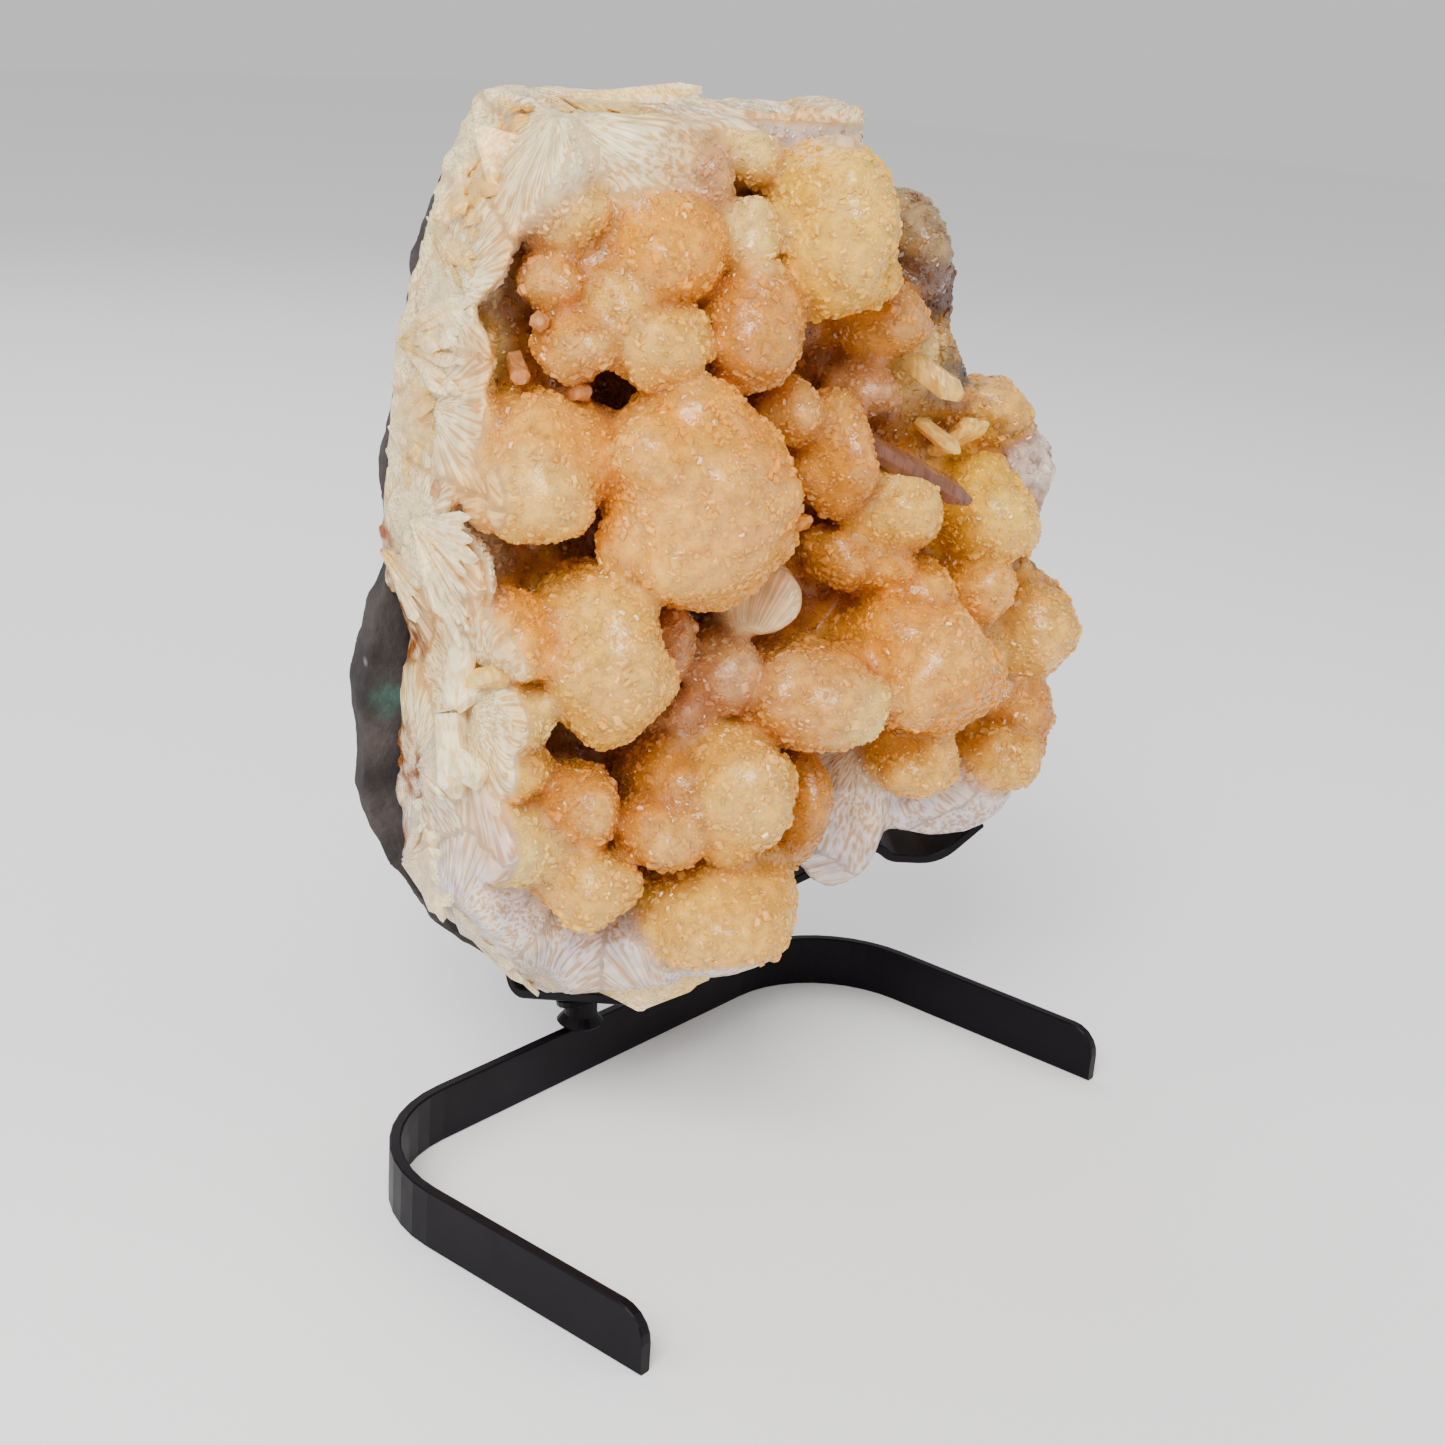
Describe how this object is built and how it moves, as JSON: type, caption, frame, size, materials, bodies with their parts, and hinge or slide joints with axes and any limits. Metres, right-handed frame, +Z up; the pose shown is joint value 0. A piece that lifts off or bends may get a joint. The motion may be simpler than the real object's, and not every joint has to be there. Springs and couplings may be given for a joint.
{
  "type": "stilbite crystal cluster on a display stand",
  "caption": "Cluster of rounded cream and honey stilbite crystal bundles on dark basalt, resting on a black iron U-foot stand.",
  "frame": {"origin": "middle of the underside of the stand foot's back run, on the surface that it stands on", "axes": "+Z up; +X towards the right leg of the foot; -Y towards the legs' free ends, the side that the crystals face"},
  "size_m": [0.2625, 0.191, 0.3454],
  "materials": {
    "iron": "satin black paint",
    "stilbite": "waxy to pearly, fine crystalline",
    "basalt": "rough natural"
  },
  "bodies": {
    "root": {"stilbite_crystals": "stilbite", "basalt_matrix": "basalt", "stand_foot_bar": "iron", "stand_post": "iron", "stand_round_plate": "iron", "stand_left_seat": "iron", "stand_right_hook": "iron"}
  },
  "joints": []
}
